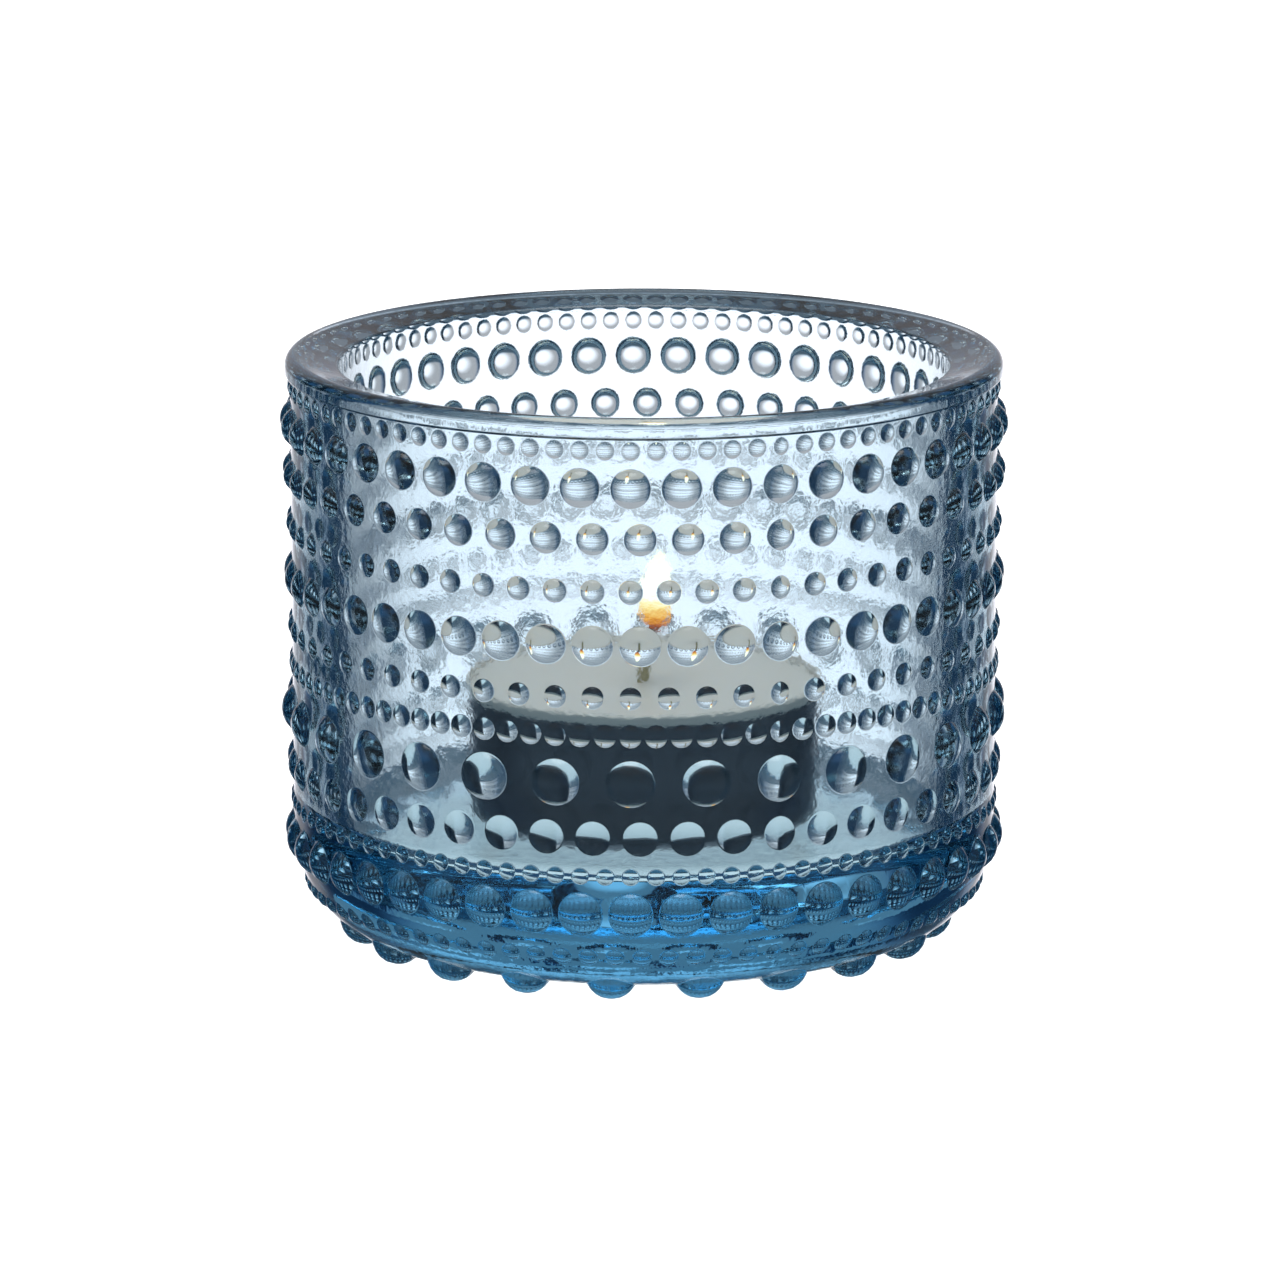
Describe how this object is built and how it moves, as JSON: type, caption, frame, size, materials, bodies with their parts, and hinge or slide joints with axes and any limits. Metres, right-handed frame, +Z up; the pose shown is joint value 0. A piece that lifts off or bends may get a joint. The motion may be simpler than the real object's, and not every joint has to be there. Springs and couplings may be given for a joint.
{
  "type": "tealight holder",
  "caption": "Round pressed-glass bowl with a thick base, rows of small beads round the wall and bead feet, holding a lit tealight.",
  "frame": {"origin": "centre of the footprint, at the height of the worn flats on the foot beads", "axes": "+Z up along the bowl's axis, front towards -Y, +X to the right seen from the front"},
  "size_m": [0.0788, 0.0788, 0.0639],
  "materials": {
    "blue_glass": "clear pressed glass, pale blue where thin and deep blue where thick",
    "cup_metal": "thin drawn sheet, satin",
    "wax": "white wax, slightly translucent, melted round the wick",
    "sustainer_steel": "stamped tinned steel",
    "wick_cotton": "braided cotton, charred above the wax",
    "flame": "small steady candle flame"
  },
  "bodies": {
    "holder": {"glass_holder": "blue_glass"},
    "tealight": {"tealight_cup": "cup_metal"},
    "candle": {"wax": "wax", "wick_sustainer": "sustainer_steel", "wick": "wick_cotton"}
  },
  "joints": [
    {"name": "tealight_lift", "type": "slide", "parent": "holder", "child": "tealight", "axis": [0, 0, 1], "range_m": [0, 0.065]},
    {"name": "candle_lift", "type": "slide", "parent": "tealight", "child": "candle", "axis": [0, 0, 1], "range_m": [0, 0.02]}
  ]
}
